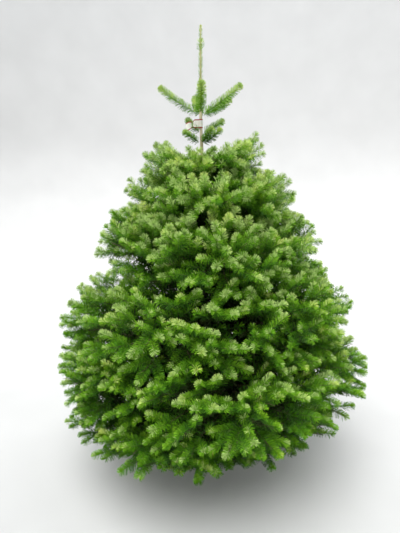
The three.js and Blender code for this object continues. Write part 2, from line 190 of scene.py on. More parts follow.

# How light shoots are, as painted shade low in the crown and painted light near its top: height, and how
# much lighter they are there
LIGHT_GAIN = ((0.1, -0.32), (0.6, -0.17), (1.2, -0.01), (1.7, 0.21))
TIP_GAIN = 0.6  # how much lighter a shoot is at its tip than at its foot: paler fresh growth and a painted highlight
FOOT_SHARE = 0.3  # the share of that by which its foot is darker, as painted shade
UPPER_GAIN = 0.25  # painted light: how much lighter it is on its upper side, and darker on its underside
EDGE_GAIN = 0.1  # painted light: how much lighter fans are at a mass's top
LIGHT_STRAY = Group(fan=0.12, shoot=0.14, needle=0.05)

# Tints that the needles are dealt out by, from the darkest up: name, least lightness and colour
# These are lit and shaded copies of one green: the darkest tints paint shade deep in the crown and under
# shoots, and the palest paints highlights on tops and tips, where fresh growth is also paler
TINTS = [
    ("inner", -math.inf, (0.045, 0.078, 0.018)),
    ("deep", 0.04, (0.048, 0.16, 0.01)),
    ("mid", 0.32, (0.1, 0.29, 0.01)),
    ("light", 0.6, (0.2, 0.44, 0.024)),
    ("fresh_and_highlit", 0.88, (0.5, 0.69, 0.215)),
]
SHADES = Group(dark=0.72, warm=(1.45, 1.2, 0.9))  # a tint's darkest and warmest sprays, as its shares
MOST_NEEDLES = 95_000  # in one piece, at two triangles each

# The top whorl's shoots and the small twigs below them: azimuth, root height, reach and rise
TOP_SHOOTS = [
    (181, TOP_WHORL - 0.016, 0.207, 0.132),
    (-9, TOP_WHORL - 0.012, 0.203, 0.134),
    (271, TOP_WHORL - 0.014, 0.19, 0.105),
    (102, TOP_WHORL - 0.016, 0.145, 0.118),
    (42, TOP_WHORL - 0.016, 0.21, 0.108),
]
STEM_TWIGS = [
    (200, 1.852, 0.088, 0.05),
    (8, 1.906, 0.108, 0.06),
    (-28, 1.846, 0.104, 0.064),
    (-58, 1.85, 0.088, 0.06),
    (163, 1.902, 0.072, 0.07),
]
# Short shoots that hide the stem's foot in front, where it comes out of the crown
COLLAR_SHOOTS = [
    (302, 1.768, 0.112, 0.042),
    (238, 1.752, 0.1, 0.036),
    (268, 1.742, 0.12, 0.02),
]
COLLAR_LIGHT = 0.85
# How far each is bare at its foot, and how far it curls up as a share of its length
TOP_FORM = Group(bare=0.03, curl=0.08)
SMALL_FORM = Group(bare=0.018, curl=0.05)
# The heights between which the leader is needled, by kind
LEADER_RUNS = {
    "leader": [(2.03, 2.17), (2.16, 2.34)],
    "tuft": [(2.32, 2.365)],
    "sparse": [(2.375, TREE_HEIGHT - 0.013)],
}

# A fan's twig: its stops, radii, and how much of its last stretch the shoot takes over
TWIG = Group(stops=6, radius=0.0014, per_length=0.006, least=0.002, most=0.0042, tip=0.0011, short=0.1)
SHOOT_STEM = Group(foot=0.0015, tip=0.0008, middle=0.5, end=0.94)
TWIG_SIDES = 3
ASKEW = (0.31, 0.17, 0.93)  # a direction that no twig takes

# The paper band tied round the trunk under the top whorl
BAND = Group(middle=1.957, height=0.046, gap=0.0003, thickness=0.0008, sides=24, stripe=0.006)
# The tail's steps away from the trunk: run, forward, drop, and its height there, with a pinch half way
BAND_TAIL = [
    (0.012, 0.002, 0.0, 1.0),
    (0.012, 0.004, 0.001, 1.0),
    (0.008, -0.004, 0.002, 0.72),
    (0.004, -0.009, 0.002, 0.42),
    (0.007, 0.008, 0.002, 0.76),
    (0.014, 0.006, 0.006, 1.0),
    (0.015, -0.002, 0.007, 0.92),
]
FOLD_ANGLE = 40  # from which the paper's edges stay sharp
NEAR = 1e-4  # how close places are that count as one

# Colours of bark, each from dark to light, and the heights at which the stem's changes begin and end
OLD_BARK = ((0.09, 0.07, 0.05), (0.2, 0.165, 0.12), (0.33, 0.3, 0.24))
LICHEN = (0.34, 0.36, 0.27)
PALE_BARK = ((0.5, 0.4, 0.26), (0.74, 0.64, 0.46))
GOLDEN_BARK = ((0.45, 0.41, 0.19), (0.66, 0.61, 0.35))
BOUGH_BARK = ((0.075, 0.055, 0.035), (0.19, 0.15, 0.1))
TWIG_BARK = ((0.06, 0.05, 0.022), (0.15, 0.125, 0.055))
GREEN_BARK = ((0.06, 0.085, 0.02), (0.14, 0.17, 0.05))
PALER_AT = (1.2, 1.8)
GOLDEN_AT = (1.98, 2.04)

# Colours of the band, the stains' share of them, and the floor's two shades
PAPER = (0.97, 0.95, 0.9)
RED_STRIPE = (0.36, 0.035, 0.025)
STAINS = (0.92, 0.87, 0.8)
FLOOR_SHADES = ((0.66, 0.655, 0.645), (0.7, 0.695, 0.685))

# The floor, and the backdrop that it curves up into
BACKDROP = Group(floor=4.5, curve=3.0, height=6.5, steps=10, sides=96)

# A wide, soft light from above and a little from the front left, and even light round it
SUN = Group(way=(0.15, 0.5, -1), angle=50, energy=3.0)
SKY = Group(color=(0.9, 0.95, 1.0), strength=0.8)

# The photograph's camera
CAMERA = Group(place=(-0.045, -2.25, 1.55), pitch=80.6, lens=27.0, sensor=36)

rng = np.random.default_rng(7)


# Helpers


def unit(vectors):
    """The same directions at length one."""
    return vectors / np.maximum(np.linalg.norm(vectors, axis=-1, keepdims=True), 1e-12)


def spread(most, shape=None):
    """Even random numbers from minus most to most."""
    return rng.uniform(-most, most, shape)


def rising(value, low, high):
    """How far up a value is between two others, from 0 to 1."""
    return np.clip((value - low) / (high - low), 0, 1)


def by_side(azimuth, values):
    """A value between three that hold on the left, in front and behind, and on the right."""
    return np.interp(math.cos(azimuth), (-1, 0, 1), values)


def joined(parts):
    """Several groups of arrays under the same names, end to end."""
    names = vars(parts[0])
    return Group(**{n: np.concatenate([getattr(part, n) for part in parts]) for n in names})


# The trunk and the boughs by the part's rule


def trunk_middle(z):
    """The trunk's middle at each height."""
    z = np.asarray(z, float)
    share = np.minimum(z / TOP_WHORL, 1)
    return np.stack([LEAN * share**LEAN_CURVE, SWEEP * np.sin(np.pi * share), z], -1)


def trunk_radius(z):
    """The trunk's radius at a height, with its flare and its swelling at the top whorl."""
    if z > TOP_WHORL:
        share = (z - TOP_WHORL) / (TREE_HEIGHT - TOP_WHORL)
        return LEADER_RADIUS + (LEADER_TIP_RADIUS - LEADER_RADIUS) * share
    near_whorl = max(0, 1 - (TOP_WHORL - z) / SWELLING.half_height)
    even = FOOT_RADIUS + (LEADER_RADIUS - FOOT_RADIUS) * z / TOP_WHORL
    return even + FLARE.spread * math.exp(-z / FLARE.height) + SWELLING.radius * near_whorl


def random_from(seed):
    """The part's own even random numbers from 0 to 1."""
    state = (seed + 1) * 2654435761 % 2**32
    while True:
        state = (state * 1664525 + 1013904223) % 2**32
        yield state / 2**32


def bough_height(tier, r):
    """The height of a tier's boughs at a distance from the trunk's middle."""
    share = r / tier.reach
    return tier.root + tier.rise * ((1 - tier.sag) * share + tier.sag * share**2)


def boughs_of(level):
    """A tier's boughs: azimuth, reach, and the azimuths of the borders with both neighbours."""
    tier = TIERS[level]
    numbers = random_from(FIRST_SEED + level)
    boughs = []
    for i in range(BOUGHS):
        azimuth = math.radians(tier.turn + 360 / BOUGHS * i + TURN_JITTER * (2 * next(numbers) - 1))
        bias = 1 + RIGHT_BIAS * math.cos(azimuth) + REACH_JITTER * (2 * next(numbers) - 1)
        longer = LONGEST.get(level, 1) if i == 0 else 1
        reach = tier.reach * bias * longer
        boughs.append(Group(tier=tier, level=level, azimuth=azimuth, reach=reach))
    for i, bough in enumerate(boughs):
        after = boughs[(i + 1) % BOUGHS].azimuth + (2 * math.pi if i == BOUGHS - 1 else 0)
        before = boughs[i - 1].azimuth - (2 * math.pi if i == 0 else 0)
        bough.left = (bough.azimuth + after) / 2
        bough.right = (bough.azimuth + before) / 2
    return boughs


def on_bough(bough, r):
    """Places on a bough, at distances from the trunk's middle."""
    out = np.array([math.cos(bough.azimuth), math.sin(bough.azimuth), 0])
    places = trunk_middle(bough.tier.root) + r[:, None] * out
    places[:, 2] = bough_height(bough.tier, r)
    return places


def tier_space(level, r):
    """The middle, top and bottom of a tier's space at a distance from the trunk."""
    middle = bough_height(TIERS[level], r)
    above = middle + 2 * TOP_DEPTH if level == 0 else bough_height(TIERS[level - 1], r)
    lowest = level == len(TIERS) - 1
    below = middle - 2 * SKIRT_DEPTH if lowest else bough_height(TIERS[level + 1], r)
    top = np.minimum((middle + above) / 2, middle + TIER_DEPTH) - TIER_GAP
    bottom = np.maximum((middle + below) / 2, middle - TIER_DEPTH) + TIER_GAP
    return middle, top, bottom


# Where fans of shoots grow on the masses


def surface_height(level, r, share):
    """The height of a tier's surface at a distance and a share of its depth."""
    middle, above, below = tier_space(level, r)
    rise, drop = above + SEAM - middle, middle - below + SEAM
    if level == 0:
        rise = (above - SKIN - middle) * (CUP + (1 - CUP) * r / TIERS[0].reach)
    if level == len(TIERS) - 1:
        drop = (middle - below - SKIN) * SKIRT
    return middle + np.where(np.asarray(share) > 0, share * rise, share * drop)


def outer_profile(bough, shelf):
    """A mass's outer surface from its top down: distances, heights, and shares of its depth from 1 to -1."""
    level, furthest = bough.level, bough.reach - SKIN
    top, lowest = level == 0, level == len(TIERS) - 1
    down = np.linspace(0, 1, PROFILE_STOPS)
    share = 1 - 2 * down
    start = (1 - ROUNDING) * furthest if top else UPPER_START * TIERS[level - 1].reach
    end = (1 - by_side(bough.azimuth, TUCK) if lowest else LOWER_END) * furthest
    inner = np.where(share > 0, start, end)
    level_r = inner + (furthest - inner) * (1 - abs(share) ** SHELF_EDGE)
    sloped_r = np.where(down < BULGE, start + (furthest - start) * np.sin(math.pi / 2 * down / BULGE),
                        furthest - (furthest - end) * ((down - BULGE) / (1 - BULGE)) ** 2)
    level_z = surface_height(level, level_r, share)
    sloped_z = level_z[0] + (level_z[-1] - level_z[0]) * down
    shelf = 1 if top else shelf
    r = sloped_r + (level_r - sloped_r) * shelf
    z = sloped_z + (level_z - sloped_z) * shelf
    upper = np.linspace(BARE_FOOT, start, EDGE_STOPS)[:-1] if top else np.array([])
    under = np.linspace(end, UNDERSIDE, EDGE_STOPS)[1:] if lowest else np.array([])
    z = np.concatenate([surface_height(level, upper, 1), z, surface_height(level, under, -1)])
    r = np.concatenate([upper, r, under])
    share = np.concatenate([np.ones(len(upper)), share, -np.ones(len(under))])
    return r, z, share


def in_opening(azimuth, z, depth):
    """Whether a place is in one of the crown's openings, which are wider deeper in."""
    for opening in OPENINGS:
        off = abs((azimuth - math.radians(opening.azimuth) + math.pi) % (2 * math.pi) - math.pi)
        inside = off < math.radians(opening.half_width) / depth and depth > opening.inner
        if inside and abs(z - opening.height) < opening.half_height:
            return True
    return False


def fans_of(bough, layer):
    """The places of a layer's fans in a mass: distance, height, azimuth and share of its depth."""
    sloped, level = outer_profile(bough, 0), outer_profile(bough, 1)
    steps = np.hypot(np.diff(sloped[0]), np.diff(sloped[1])) * layer.depth
    along = np.concatenate([[0], np.cumsum(steps)])
    rows = max(2, round(along[-1] / layer.row_step))
    fans = []
    for row in range(rows):
        stop = (row + 0.5) / rows * along[-1]
        row_r = np.interp(stop, along, sloped[0]) * layer.depth
        count = max(1, round((bough.left - bough.right) * row_r / layer.fan_step + row % 2 / 2))
        for k in range(count):
            here = np.clip(stop + spread(STRAY.along) * layer.row_step, 0, along[-1])
            place = (k + 0.5 + spread(STRAY.across)) / count
            azimuth = bough.right + (bough.left - bough.right) * place
            shelf = SHELF * math.sin(math.pi * place) ** 2 * (1 - max(0, -math.sin(azimuth)))
            r, z, share = (np.interp(here, along, low) * (1 - shelf) + np.interp(here, along, high) * shelf
                           for low, high in zip(sloped, level))
            r *= 1 - SIDE_ROUNDING * (2 * place - 1) ** 2 - rng.uniform(0, STRAY.inwards)
            r *= by_side(azimuth, SIDES[bough.level].share)
            z -= by_side(azimuth, SIDES[bough.level].drop)
            z += spread(STRAY.up) - DEEPER_DROP * (1 - layer.depth)
            if bough.level == 0:
                z = min(z, TOP_LIMIT) - DIP * math.sin(azimuth) ** 2 * r / bough.reach
            if not in_opening(azimuth, z, layer.depth):
                fans.append((r * layer.depth, z, azimuth, share))
    return fans


def twigs_of(bough, layer):
    """The twigs that carry a layer's fans: feet on the bough, tips, the ways these point, and lengths."""
    r, z, azimuth, share = np.array(fans_of(bough, layer)).reshape(-1, 4).T
    middle = trunk_middle(bough.tier.root)
    tip = np.stack([middle[0] + r * np.cos(azimuth), middle[1] + r * np.sin(azimuth), z], -1)
    off = azimuth - bough.azimuth
    from_bough = np.hypot(r * np.sin(off), z - bough_height(bough.tier, r))
    back = from_bough / math.tan(math.radians(FORK.angle)) + FORK.behind * SHOOT_LENGTH
    foot = on_bough(bough, np.clip(r * np.cos(off) - back, FORK.nearest, FORK.last * bough.reach))
    lift = np.interp(z, *zip(*SHOOT_LIFT)) + np.where(share > 0, EDGE_LIFT.above, EDGE_LIFT.below) * share
    lift = np.radians(lift + spread(FAN_STRAY.lift, len(r)))
    turn = azimuth + ASIDE_SHARE * off + np.radians(spread(FAN_STRAY.turn, len(r)))
    way = np.stack([np.cos(lift) * np.cos(turn), np.cos(lift) * np.sin(turn), np.sin(lift)], -1)
    layers = np.full(len(r), LAYERS.index(layer))
    length = np.linalg.norm(tip - foot, axis=1)
    return Group(foot=foot, tip=tip, way=way, share=share, layer=layers, length=length)


def path_at(twigs, share):
    """The place on each curved twig at a share of its way, and its direction there."""
    bend = twigs.tip - twigs.way * twigs.length[:, None] * FORK.bend
    share = np.asarray(share, float).reshape(-1, 1)
    place = (1 - share) ** 2 * twigs.foot + 2 * share * (1 - share) * bend + share**2 * twigs.tip
    way = 2 * (1 - share) * (bend - twigs.foot) + 2 * share * (twigs.tip - bend)
    return place, unit(way)


# Shoots and their needles


def upward(ways, roll):
    """The upper side of each direction, rolled about it."""
    aside = unit(np.cross(ways, [0, 0, 1.0]))
    over = np.cross(aside, ways)
    roll = np.asarray(roll).reshape(-1, 1)
    return over * np.cos(roll) + aside * np.sin(roll)


def shoots(root, way, over, bend, length, light, parting):
    """Shoots as one group of arrays."""
    return Group(root=root, way=way, over=over, bend=bend, length=length, light=light, parting=parting)


def shoots_of(twigs):
    """The shoots of all fans, by kind: root, way, upper side, bend, length, lightness and parting below."""
    length, height = twigs.length, twigs.tip[:, 2]
    facing = np.maximum(0, -unit(twigs.way)[:, 1]) ** 2
    most = FAN_ROLL.sides + (FAN_ROLL.front - FAN_ROLL.sides) * facing
    roll = spread(1, len(length)) * most * rising(height, *FAN_ROLL.heights)
    # painted light: fans at a mass's top are lighter, with some random stray per fan
    top_light = EDGE_GAIN * (twigs.share + 1) + spread(LIGHT_STRAY.fan, len(length))
    kinds = {kind: [] for kind in KINDS}
    for layer, back, aside, up, size, kind in FAN + DEEP_FAN:
        upright = kind == "upright"
        fits = (length > back * SHOOT_LENGTH * SHORTEST_TWIG) & (twigs.layer == layer)
        if upright:
            fits &= (height > UPRIGHT_AT[0]) & (height < UPRIGHT_AT[1])
            kind = "tip"
        some = Group(**{n: v[fits] for n, v in vars(twigs).items()})
        count = int(fits.sum())
        share = np.clip(1 - back * SHOOT_LENGTH / length[fits], 0, 1)
        root, along = path_at(some, share)
        over = upward(along, roll[fits])
        side = np.cross(along, over)
        a = np.radians(aside + spread(SHOOT_STRAY.aside, count))[:, None]
        u = np.radians(up + spread(SHOOT_STRAY.up, count))[:, None]
        way = along * np.cos(a) * np.cos(u) + side * np.sin(a) * np.cos(u) + over * np.sin(u)
        longer = 1 + UPPER_LONGER.share * rising(root[:, 2], *UPPER_LONGER.heights)
        reach = SHOOT_LENGTH * size * longer * (1 + spread(SHOOT_STRAY.length, count))
        bend = (along * SHOOT_CURL.forward + [0, 0, SHOOT_CURL.up]) * reach[:, None]
        if aside == 0 and not upright:
            reach = np.minimum(reach, back * SHOOT_LENGTH)
            bend = np.zeros((count, 3))
        # painted shade low in the crown and painted light near its top
        lighter = np.interp(root[:, 2], *zip(*LIGHT_GAIN))
        light = KINDS[kind].light + top_light[fits] + lighter + spread(LIGHT_STRAY.shoot, count)
        parting = np.clip(PARTING.height - root[:, 2], 0, 1)
        kinds[kind].append(shoots(root, way, over, bend, reach, light, parting))
    return {kind: joined(parts) for kind, parts in kinds.items() if parts}


def lone_shoots(rows, form, light):
    """Shoots that stand alone on the trunk, from their azimuth, root height, reach and rise."""
    azimuth, root, reach, rise = np.array(rows, float).T
    azimuth = np.radians(azimuth)
    run = np.stack([reach * np.cos(azimuth), reach * np.sin(azimuth), rise], -1)
    length = np.linalg.norm(run, axis=1)
    way = unit(run)
    over = upward(way, 0)
    bend = over * form.curl * length[:, None]
    start = trunk_middle(root) + way * form.bare
    way = unit(run - bend)
    same = np.ones(len(rows))
    return shoots(start, way, over, bend, length - form.bare, light * same, PARTING.alone * same)


def leader_shoots(runs, light):
    """The leader as shoots between pairs of heights."""
    low, high = np.array(runs).T
    up = np.tile([0, 0, 1.0], (len(low), 1))
    front = np.tile([0, -1.0, 0], (len(low), 1))
    light, parting = np.full(len(low), light), np.zeros(len(low))
    return shoots(trunk_middle(low), up, front, up * 0, high - low, light, parting)


def needles_on(group, kind):
    """Each needle of a group of shoots as a four-cornered blade, with its lightness."""
    style = KINDS[kind]
    size = (len(group.length), style.count)
    index = np.arange(style.count)
    order = (index + rng.random(size)) / style.count
    t = np.minimum(order / (1 - DOME), 1) ** CROWDING
    closing = np.clip((order - 1) / DOME + 1, 0, 1)
    length = group.length[:, None, None]
    place = group.root[:, None] + group.way[:, None] * length * t[..., None]
    place = place + group.bend[:, None] * t[..., None] ** 2
    along = unit(group.way[:, None] * length + 2 * t[..., None] * group.bend[:, None])
    over = unit(group.over[:, None] - along * (along * group.over[:, None]).sum(-1, keepdims=True))
    aside = np.cross(along, over)
    turn = np.mod(index * GOLDEN_TURN + spread(NEEDLE_STRAY.turn, size), 2 * np.pi) - np.pi
    turn *= 1 - PARTING.turn * group.parting[:, None]
    out = over * np.cos(turn)[..., None] + aside * np.sin(turn)[..., None]
    forward = np.cos(np.radians(style.sweep[0] + (style.sweep[1] - style.sweep[0]) * t))
    angle = np.degrees(np.arccos(forward + (1 - forward) * closing)) + spread(NEEDLE_STRAY.angle, size)
    angle = np.radians(angle - PARTING.forward * np.clip(np.cos(turn), 0, 1) * group.parting[:, None])
    way = along * np.cos(angle)[..., None] + out * np.sin(angle)[..., None]
    facing = unit(group.root * [1, 1, 0]) + [0, 0, 1]
    flat = unit(np.cross(way, facing[:, None]))
    roll = np.radians(spread(style.roll, size))[..., None]
    wide = flat * np.cos(roll) + np.cross(way, flat) * np.sin(roll)
    stretch = style.length * (1 + spread(NEEDLE_STRAY.length, size)) * (1 - NEEDLE.shorter * t**5)
    foot, tip = place + out * NEEDLE.start, place + way * stretch[..., None]
    half = wide * style.width / 2
    low, high = half * NEEDLE.foot_width, half * NEEDLE.tip_width
    corners = np.stack([foot - low, foot + low, tip + high, tip - high], 2)
    # painted light and shade: lighter towards the tip and on the upper side, darker at the foot and
    # underneath
    light = group.light[:, None] + TIP_GAIN * (t**2 - FOOT_SHARE) + UPPER_GAIN * np.cos(turn)
    light = light + spread(LIGHT_STRAY.needle, size)
    return corners.reshape(-1, 4, 3), light.ravel()


# Meshes from arrays


def tubes(paths, radii):
    """Thin closed twigs from their stops and radii, as corners and faces."""
    count, stops = paths.shape[:2]
    sides = TWIG_SIDES
    along = unit(np.gradient(paths, axis=1))
    aside = unit(np.cross(along, ASKEW))
    over = np.cross(along, aside)
    angle = np.arange(sides) * 2 * np.pi / sides
    ring = aside[:, :, None] * np.cos(angle)[:, None] + over[:, :, None] * np.sin(angle)[:, None]
    corners = paths[:, :, None] + ring * radii[:, :, None, None]
    first = (np.arange(count) * stops * sides)[:, None, None]
    level = (np.arange(stops - 1) * sides)[None, :, None]
    side, after = np.arange(sides), (np.arange(sides) + 1) % sides
    low = first + level
    walls = np.stack([low + side, low + after, low + after + sides, low + side + sides], -1)
    ends = np.stack([first[:, 0] + side[::-1], first[:, 0] + (stops - 1) * sides + side], 1)
    return corners.reshape(-1, 3), walls.reshape(-1, 4), ends.reshape(-1, sides)


def mesh_piece(name, corners, face_groups):
    """A new object from corners and groups of faces that have as many corners each."""
    mesh = bpy.data.meshes.new(name)
    loops = np.concatenate([faces.ravel() for faces in face_groups]).astype(np.int32)
    sizes = np.concatenate([np.full(len(faces), faces.shape[1]) for faces in face_groups])
    mesh.vertices.add(len(corners))
    mesh.vertices.foreach_set("co", corners.astype(np.float32).ravel())
    mesh.loops.add(len(loops))
    mesh.loops.foreach_set("vertex_index", loops)
    mesh.polygons.add(len(sizes))
    mesh.polygons.foreach_set("loop_start", np.concatenate([[0], np.cumsum(sizes)[:-1]]).astype(np.int32))
    mesh.update(calc_edges=True)
    piece = bpy.data.objects.new(name, mesh)
    bpy.context.scene.collection.objects.link(piece)
    return piece


# Materials


class Value:
    """A number that a material's nodes give. Sums and products of it add Math nodes."""

    def __init__(self, paint, socket):
        self.paint, self.socket = paint, socket

    def math(self, operation, first, second):
        return self.paint.node("Math", {"operation": operation}, {0: first, 1: second})

    def __add__(self, other):
        return self.math("ADD", self, other)

    def __radd__(self, other):
        return self.math("ADD", other, self)

    def __mul__(self, other):
        return self.math("MULTIPLY", self, other)

    def __rmul__(self, other):
        return self.math("MULTIPLY", other, self)


class Paint:
    """A material: its surface shader with constants, and the nodes that feed it."""

    def __init__(self, name, constants=None):
        self.material = bpy.data.materials.new(name)
        self.material.use_nodes = True
        self.nodes = self.material.node_tree.nodes
        self.shader = self.nodes["Principled BSDF"]
        self.place = self.nodes.new("ShaderNodeTexCoord").outputs["Object"]
        for socket, value in (constants or {}).items():
            self.shader.inputs[socket].default_value = value

    def feed(self, socket, value):
        """Links a value to a socket, or sets it."""
        if isinstance(value, Value):
            value = value.socket
        if isinstance(value, bpy.types.NodeSocket):
            self.material.node_tree.links.new(value, socket)
        else:
            socket.default_value = value

    def node(self, kind, settings=None, values=None, output=0):
        """A node of a kind, with its settings first and then its sockets' values or links."""
        made = self.nodes.new("ShaderNode" + kind)
        for name, setting in (settings or {}).items():
            if name == "stops":
                self.set_stops(made.color_ramp, setting)
            else:
                setattr(made, name, setting)
        for socket, value in (values or {}).items():
            self.feed(made.inputs[socket], value)
        return Value(self, made.outputs[output])

    def set_stops(self, ramp, stops):
        """A ramp's stops, as places and colours."""
        while len(ramp.elements) < len(stops):
            ramp.elements.new(1)
        for element, (place, color) in zip(ramp.elements, stops):
            element.position, element.color = place, (*color, 1)

    def noise(self, scale, detail=3, stretch=(1, 1, 1), roughness=0.5):
        """Soft noise from 0 to 1 over the piece."""
        place = self.node("Mapping", values={"Vector": self.place, "Scale": stretch})
        return self.node("TexNoise", values={"Vector": place, "Scale": scale, "Detail": detail,
                                             "Roughness": roughness})

    def ramp(self, value, *stops):
        """Colours by a value."""
        return self.node("ValToRGB", {"stops": stops}, {"Fac": value})

    def mix(self, share, first, second):
        """A colour between two others."""
        return self.node("Mix", {"data_type": "RGBA"}, {0: share, 6: first, 7: second}, output=2)

    def height(self, low, high):
        """How far up a point is between two heights, from 0 to 1."""
        z = self.node("SeparateXYZ", values={"Vector": self.place}, output=2)
        return self.node("MapRange", values={"Value": z, 1: low, 2: high})

    def finish(self, color, roughness, bump=None, depth=0.001, strength=0.5):
        """Feeds the shader and gives the material."""
        self.feed(self.shader.inputs["Base Color"], color)
        self.feed(self.shader.inputs["Roughness"], roughness)
        if bump is not None:
            normal = self.node("Bump", values={"Height": bump, "Distance": depth, "Strength": strength})
            self.feed(self.shader.inputs["Normal"], normal)
        return self.material


def needle_paint(name, color):
    """Glossy green needles that vary a little from spray to spray."""
    paint = Paint(name, {"Specular IOR Level": 0.2})
    spray = paint.noise(9, detail=2)
    fine = paint.noise(70, detail=2)
    dark = tuple(c * SHADES.dark for c in color)
    warm = tuple(min(1, c * w) for c, w in zip(color, SHADES.warm))
    shades = paint.ramp(spray * 0.65 + fine * 0.35, (0.32, dark), (0.5, color), (0.7, warm))
    return paint.finish(shades, 0.42 + fine * 0.16, bump=fine, depth=0.0005, strength=0.25)


def bark_paint():
    """Grey-brown bark with lichen below, paler up the stem, and golden on the leader."""
    paint = Paint("bark")
    grain = paint.noise(60, detail=8, stretch=(1, 1, 0.35), roughness=0.65)
    patches = paint.noise(22, detail=4)
    old = paint.ramp(grain, *zip((0.3, 0.5, 0.7), OLD_BARK))
    lichen = paint.ramp(patches, (0.52, (0, 0, 0)), (0.62, (1, 1, 1)))
    old = paint.mix(lichen * 0.5, old, (*LICHEN, 1))
    pale = paint.ramp(grain, *zip((0.35, 0.65), PALE_BARK))
    golden = paint.ramp(grain, *zip((0.35, 0.65), GOLDEN_BARK))
    stem = paint.mix(paint.height(*PALER_AT), old, pale)
    color = paint.mix(paint.height(*GOLDEN_AT), stem, golden)
    return paint.finish(color, 0.72 + patches * 0.2, bump=grain, depth=0.003, strength=0.7)


def young_bark_paint(name, colors):
    """The thinner bark of boughs and twigs."""
    paint = Paint(name)
    grain = paint.noise(90, detail=5, roughness=0.6)
    color = paint.ramp(grain, *zip((0.35, 0.65), colors))
    return paint.finish(color, 0.62 + grain * 0.25, bump=grain, depth=0.0012, strength=0.5)


def paper_paint(name, color):
    """Weathered paper with faint creases and stains."""
    paint = Paint(name)
    crease = paint.noise(55, detail=4, stretch=(1, 1, 2.4))
    stain = paint.noise(30, detail=3)
    stained = tuple(c * s for c, s in zip(color, STAINS))
    shades = paint.ramp(stain, (0.4, color), (0.72, stained))
    return paint.finish(shades, 0.55 + stain * 0.2, bump=crease, depth=0.002, strength=0.5)


def floor_paint():
    """A plain pale floor."""
    paint = Paint("floor")
    wear = paint.noise(1.5, detail=2)
    color = paint.ramp(wear, *zip((0.3, 0.7), FLOOR_SHADES))
    return paint.finish(color, 0.85 + wear * 0.05)


# Pieces and the ways of shaping them


def paint_piece(piece, *materials):
    """Gives a piece its materials."""
    for material in materials:
        piece.data.materials.append(material)


def place_piece(piece, slot, *nodes):
    """Puts a piece on the tree, in place of the nodes that it stands for."""
    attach(piece, "root")
    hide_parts(*nodes)


def nodes_named(*starts):
    """The CAD nodes whose names start so."""
    return [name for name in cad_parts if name.startswith(starts)]


def leafy_nodes():
    """The CAD nodes that the twigs and the needles stand for together."""
    return nodes_named("foliage_", "top_shoot_", "stem_twig_")


def open_mesh():
    """Opens the active piece for shaping, with all of it selected."""
    bpy.ops.object.mode_set(mode="EDIT")
    bpy.ops.mesh.select_all(action="SELECT")


def close_mesh():
    """Ends the shaping."""
    bpy.ops.object.mode_set(mode="OBJECT")


def face_outwards():
    """Turns all faces of the open piece outwards."""
    bpy.ops.mesh.select_all(action="SELECT")
    bpy.ops.mesh.normals_make_consistent(inside=False)


def start_piece(name):
    """Names the primitive just added, and opens it."""
    piece = bpy.context.object
    piece.name = piece.data.name = name
    open_mesh()
    return piece


def draw_out(*step):
    """Extrudes what is selected by a step."""
    bpy.ops.mesh.extrude_region_move(TRANSFORM_OT_translate={"value": step})


def select_only(pieces):
    """Selects some pieces, with the first one active."""
    bpy.ops.object.select_all(action="DESELECT")
    for piece in pieces:
        piece.select_set(True)
    bpy.context.view_layer.objects.active = pieces[0]


def apply_place(piece):
    """Leaves a piece's place in its mesh, with its object at the origin."""
    close_mesh()
    select_only([piece])
    bpy.ops.object.transform_apply(location=True, rotation=True, scale=True)


def draw_limb(name, stops, radii, sides):
    """A closed limb that changes its width, drawn out ring by ring from a filled circle."""
    bpy.ops.object.select_all(action="DESELECT")
    stops = [Vector(stop) for stop in stops]
    facing = (stops[1] - stops[0]).to_track_quat("Z", "Y").to_euler()
    bpy.ops.mesh.primitive_circle_add(vertices=sides, radius=radii[0], fill_type="NGON",
                                      location=stops[0], rotation=facing)
    limb = start_piece(name)
    for i in range(1, len(stops)):
        draw_out(*(stops[i] - stops[i - 1]))
        size = radii[i] / radii[i - 1]
        bpy.ops.transform.resize(value=(size, size, size), center_override=stops[i])
    face_outwards()
    apply_place(limb)
    return limb


def apply_modifier(piece, kind, **settings):
    """Adds a modifier to the active piece and applies it."""
    modifier = piece.modifiers.new(kind.lower(), kind)
    for name, setting in settings.items():
        setattr(modifier, name, setting)
    bpy.ops.object.modifier_apply(modifier=modifier.name)


def relief_texture(name, size):
    """A procedural relief for bark."""
    texture = bpy.data.textures.new(name, "CLOUDS")
    texture.noise_scale = size
    return texture


def roughen(piece, texture, depth):
    """Rounds a limb and raises its bark."""
    apply_modifier(piece, "SUBSURF", levels=1, render_levels=1)
    apply_modifier(piece, "DISPLACE", texture=texture, texture_coords="GLOBAL", strength=depth)


def pull_lobes(trunk):
    """Draws the root lobes out of the trunk's foot."""
    bpy.ops.object.mode_set(mode="EDIT")
    bpy.ops.mesh.select_mode(type="VERT")
    foot = trunk_middle(0)
    for lobe in range(FLARE.lobes):
        angle = 2 * math.pi * lobe / FLARE.lobes
        out = Vector((math.cos(angle), math.sin(angle), 0))
        bpy.ops.mesh.select_all(action="DESELECT")
        close_mesh()
        for vertex in trunk.data.vertices:
            from_middle = Vector((vertex.co.x - foot[0], vertex.co.y - foot[1], 0))
            beside = from_middle.length > NEAR and from_middle.angle(out) < math.radians(FLARE.half_angle)
            vertex.select = beside and vertex.co.z < FLARE.height
        bpy.ops.object.mode_set(mode="EDIT")
        bpy.ops.transform.translate(value=out * FLARE.spread * FLARE.lobe_depth * LOBE_PULL)
    close_mesh()


def level_foot(trunk):
    """Cuts the trunk's rounded foot flat again, and sets it on the ground."""
    open_mesh()
    bpy.ops.mesh.bisect(plane_co=(0, 0, CUT), plane_no=(0, 0, 1), use_fill=True, clear_inner=True,
                        threshold=1e-6)
    bpy.ops.mesh.select_all(action="SELECT")
    bpy.ops.transform.translate(value=(0, 0, -CUT))
    close_mesh()


